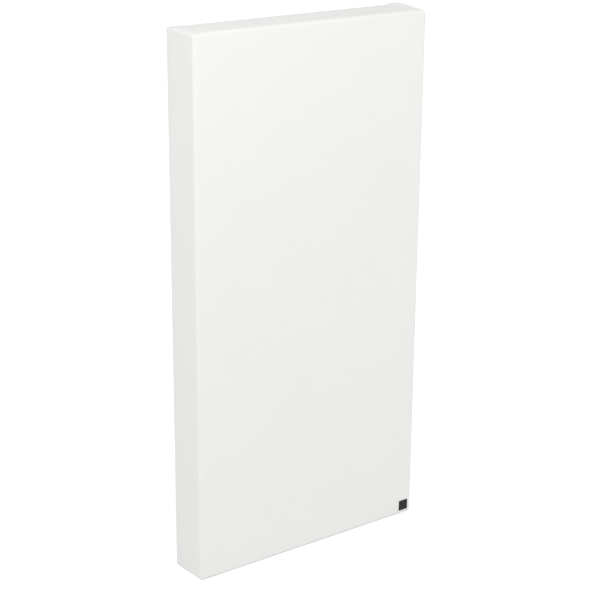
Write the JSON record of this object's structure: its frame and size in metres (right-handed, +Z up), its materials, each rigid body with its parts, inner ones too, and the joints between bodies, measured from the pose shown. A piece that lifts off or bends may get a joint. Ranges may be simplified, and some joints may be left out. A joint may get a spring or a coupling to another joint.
{
  "type": "acoustic panel",
  "caption": "Tall rectangular sound-absorbing wall panel: a foam core on a light timber frame, wrapped in cloth, with keyhole hanger plates at the back corners.",
  "frame": {"origin": "on the ground under the middle of the panel, halfway between the frontmost point of the label and the back faces of the hanger plates", "axes": "+Z up along the panel's height, +Y from the cloth front to the wall side, +X to the right of someone who looks at the front"},
  "size_m": [0.6, 0.1032, 1.2],
  "materials": {
    "white_cloth": "matte woven cloth, white",
    "black_cloth": "matte felted cloth, black",
    "black_label": "woven satin, black",
    "grey_foam": "open-cell foam, charcoal",
    "pine": "planed softwood, bare",
    "beech": "turned hardwood, bare",
    "zinc_plate": "pressed steel, zinc plated",
    "zinc_screw": "steel, bright zinc plated"
  },
  "bodies": {
    "root": {"fabric_cover": "white_cloth", "foam_face_slab": "grey_foam", "foam_infill_upper": "grey_foam", "foam_infill_lower": "grey_foam", "left_stile": "pine", "right_stile": "pine", "top_rail": "pine", "cross_rail": "pine", "bottom_rail": "pine", "dowel_top_left_upper": "beech", "dowel_top_left_lower": "beech", "dowel_top_right_upper": "beech", "dowel_top_right_lower": "beech", "dowel_cross_left_upper": "beech", "dowel_cross_left_lower": "beech", "dowel_cross_right_upper": "beech", "dowel_cross_right_lower": "beech", "dowel_bottom_left_upper": "beech", "dowel_bottom_left_lower": "beech", "dowel_bottom_right_upper": "beech", "dowel_bottom_right_lower": "beech", "back_cloth": "black_cloth", "hanger_plate_top_left": "zinc_plate", "hanger_plate_top_right": "zinc_plate", "hanger_plate_bottom_right": "zinc_plate", "hanger_plate_bottom_left": "zinc_plate", "plate_screw_top_left_1": "zinc_screw", "plate_screw_top_left_2": "zinc_screw", "plate_screw_top_left_3": "zinc_screw", "plate_screw_top_left_4": "zinc_screw", "plate_screw_top_right_1": "zinc_screw", "plate_screw_top_right_2": "zinc_screw", "plate_screw_top_right_3": "zinc_screw", "plate_screw_top_right_4": "zinc_screw", "plate_screw_bottom_right_1": "zinc_screw", "plate_screw_bottom_right_2": "zinc_screw", "plate_screw_bottom_right_3": "zinc_screw", "plate_screw_bottom_right_4": "zinc_screw", "plate_screw_bottom_left_1": "zinc_screw", "plate_screw_bottom_left_2": "zinc_screw", "plate_screw_bottom_left_3": "zinc_screw", "plate_screw_bottom_left_4": "zinc_screw", "label": "black_label"}
  },
  "joints": []
}
